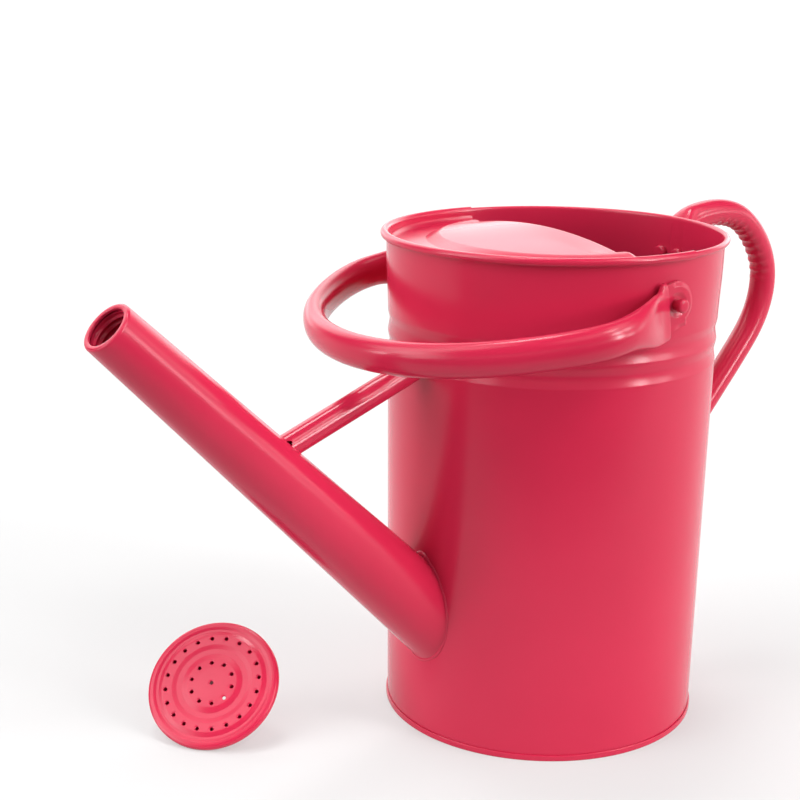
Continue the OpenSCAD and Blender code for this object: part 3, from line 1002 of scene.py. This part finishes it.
make("rose_back", rose_back_shape(), "rose", ["rose_back"], rose_paint)
neck = threaded_tube(NECK_R, 0.95, NECK_R - 1.7, -NECK_END, -NECK_START - 0.5, False)
end_lip = [(8.6, 1.3), (8.6, 0.3), (NECK_R - 1.5, 0.3), (NECK_R - 1.5, 1.3)]
neck.join(Shape().lathe(rounded([(r, z - NECK_END) for r, z in end_lip], 0.3), steps=96))
make("rose_neck", neck.moved(AT_ROSE), "rose", ["rose_neck"], small_paint, sharp=60)

# ---- floor, light and camera ----------------------------------------------------------------------

FLOOR_HALF = 60.0
FLOOR_GLOW = 0.42
corners = [(x * FLOOR_HALF, y * FLOOR_HALF, 0) for x, y in ((-1, -1), (1, -1), (1, 1), (-1, 1))]
floor_mesh = bpy.data.meshes.new("floor")
floor_mesh.from_pydata(corners, [], [(0, 1, 2, 3)])
floor = bpy.data.objects.new("floor", floor_mesh)
bpy.context.scene.collection.objects.link(floor)
floor_mat = bpy.data.materials.new("floor_with_reflected_shade")
floor_mat.use_nodes = True
floor_shader = floor_mat.node_tree.nodes["Principled BSDF"]
floor_shader.inputs["Emission Color"].default_value = (1, 1, 1, 1)
floor_shader.inputs["Roughness"].default_value = 0.9
floor_shader.inputs["Specular IOR Level"].default_value = 0.1
floor_mesh.materials.append(floor_mat)

CAMERA_AT = Vector((0.6401, 0.7109, 0.4516))
LOOK = Vector((-0.5642, -0.7619, -0.3181)).normalized()
RIGHT = LOOK.cross(Vector((0, 0, 1))).normalized()
UP = RIGHT.cross(LOOK)
ROLL = math.radians(0.5097)
right = RIGHT * math.cos(ROLL) + UP * math.sin(ROLL)
up = UP * math.cos(ROLL) - RIGHT * math.sin(ROLL)

cam_data = bpy.data.cameras.new("camera")
cam_data.sensor_width = 36.0
cam_data.lens = 71.17
cam_data.shift_y = 0.125
cam_data.clip_end = 200
camera = bpy.data.objects.new("camera", cam_data)
bpy.context.scene.collection.objects.link(camera)
rot = Matrix((right, up, -LOOK)).transposed().to_4x4()
camera.matrix_world = Matrix.Translation(CAMERA_AT) @ rot
bpy.context.scene.camera = camera

# Soft studio panels as spots of the world. Each has its bearing from the camera towards the camera's right,
# its height, the half angles of its full and its whole extent, all in degrees, and its strength
PANELS = ((60, 10, 4, 24, 0.5), (90, 10, 4, 24, 0.92), (120, 10, 4, 24, 0.79), (150, 10, 4, 24, 2.75),
          (210, 10, 4, 24, 1.67), (300, 10, 4, 24, 4.11), (180, 35, 6, 25, 2.9), (216, 35, 6, 25, 3.0),
          (288, 35, 6, 25, 4.79), (72, 35, 6, 25, 2.09), (24, 45, 3, 17, 1.59), (48, 45, 3, 17, 0.44),
          (250, 60, 3, 17, 1.22), (280, 60, 3, 17, 0.6), (310, 60, 3, 17, 3.6), (90, 60, 3, 17, 2.35),
          (255, 75, 3, 17, 2.03), (60, 9, 1, 9, 28.33), (78, 4, 1, 9, 7.73), (58, 28, 1, 9, 19.15),
          (76, 28, 1, 9, 9.02), (58, 50, 1, 9, 13.42), (200, 76, 1, 9, 19.39), (282, 6, 1, 9, 9.99),
          (180, 10, 4, 24, 0.45), (180, 8, 1, 9, 1.3), (100, 8, 1, 9, 1.93))

flat_right = Vector((RIGHT.x, RIGHT.y, 0)).normalized()
flat_back = Vector((LOOK.x, LOOK.y, 0)).normalized()


def fading(start, end, near, far):
    """Value that the camera sees as near all over, and other rays as fading to far on the camera's side:
    painted shade that only reflections and bounce light see.
    """
    nodes, links = floor_mat.node_tree.nodes, floor_mat.node_tree.links
    where = nodes.new("ShaderNodeTexCoord")
    along = nodes.new("ShaderNodeVectorMath")
    along.operation = "DOT_PRODUCT"
    along.inputs[1].default_value = -flat_back
    links.new(where.outputs["Object"], along.inputs[0])
    fade = nodes.new("ShaderNodeMapRange")
    fade.interpolation_type = "SMOOTHSTEP"
    fade.inputs["From Min"].default_value = start
    fade.inputs["From Max"].default_value = end
    fade.inputs["To Min"].default_value = near
    fade.inputs["To Max"].default_value = far
    links.new(along.outputs["Value"], fade.inputs["Value"])
    seen = nodes.new("ShaderNodeMix")
    links.new(nodes.new("ShaderNodeLightPath").outputs["Is Camera Ray"], seen.inputs["Factor"])
    links.new(fade.outputs["Result"], seen.inputs["A"])
    seen.inputs["B"].default_value = near
    return seen.outputs["Result"]


# The floor looks pale to the camera all over, but reflections and bounce light see it dark and unlit on the
# camera's side: painted shade that only other rays see
REFLECTED_SHADE_EDGE = (0.3, 0.7)
FLOOR_TONE = 0.3
REFLECTED_SHADE_TONE = 0.07
floor_mat.node_tree.links.new(fading(*REFLECTED_SHADE_EDGE, FLOOR_TONE, REFLECTED_SHADE_TONE), floor_shader.inputs["Base Color"])
floor_mat.node_tree.links.new(fading(*REFLECTED_SHADE_EDGE, FLOOR_GLOW, 0.0), floor_shader.inputs["Emission Strength"])

world = bpy.data.worlds.new("studio")
bpy.context.scene.world = world
world.use_nodes = True
sky_nodes, sky_links = world.node_tree.nodes, world.node_tree.links
background = sky_nodes["Background"]
background.inputs["Color"].default_value = (1, 1, 1, 1)
direction = sky_nodes.new("ShaderNodeTexCoord")


def sky_spot(towards, start, end, low, high):
    """Strength that runs from low to high as the cosine of the angle to a direction passes start and end."""
    facing = sky_nodes.new("ShaderNodeVectorMath")
    facing.operation = "DOT_PRODUCT"
    facing.inputs[1].default_value = towards
    sky_links.new(direction.outputs["Generated"], facing.inputs[0])
    spot = sky_nodes.new("ShaderNodeMapRange")
    spot.interpolation_type = "SMOOTHSTEP"
    spot.inputs["From Min"].default_value = start
    spot.inputs["From Max"].default_value = end
    spot.inputs["To Min"].default_value = low
    spot.inputs["To Max"].default_value = high
    sky_links.new(facing.outputs["Value"], spot.inputs["Value"])
    return spot.outputs["Result"]


# A bright band round the horizon, and then the panels
total = sky_spot((0, 0, 1), 0.04, 0.3, 0.8, 0.05)
for bearing, height, inner, outer, strength in PANELS:
    a, e = math.radians(bearing), math.radians(height)
    towards = (flat_right * math.sin(a) - flat_back * math.cos(a)) * math.cos(e) + Vector((0, 0, math.sin(e)))
    panel = sky_spot(towards, math.cos(math.radians(outer)), math.cos(math.radians(inner)), 0.0, strength)
    add = sky_nodes.new("ShaderNodeMath")
    sky_links.new(total, add.inputs[0])
    sky_links.new(panel, add.inputs[1])
    total = add.outputs["Value"]
sky_links.new(total, background.inputs["Strength"])
bpy.context.scene.view_settings.view_transform = "Standard"
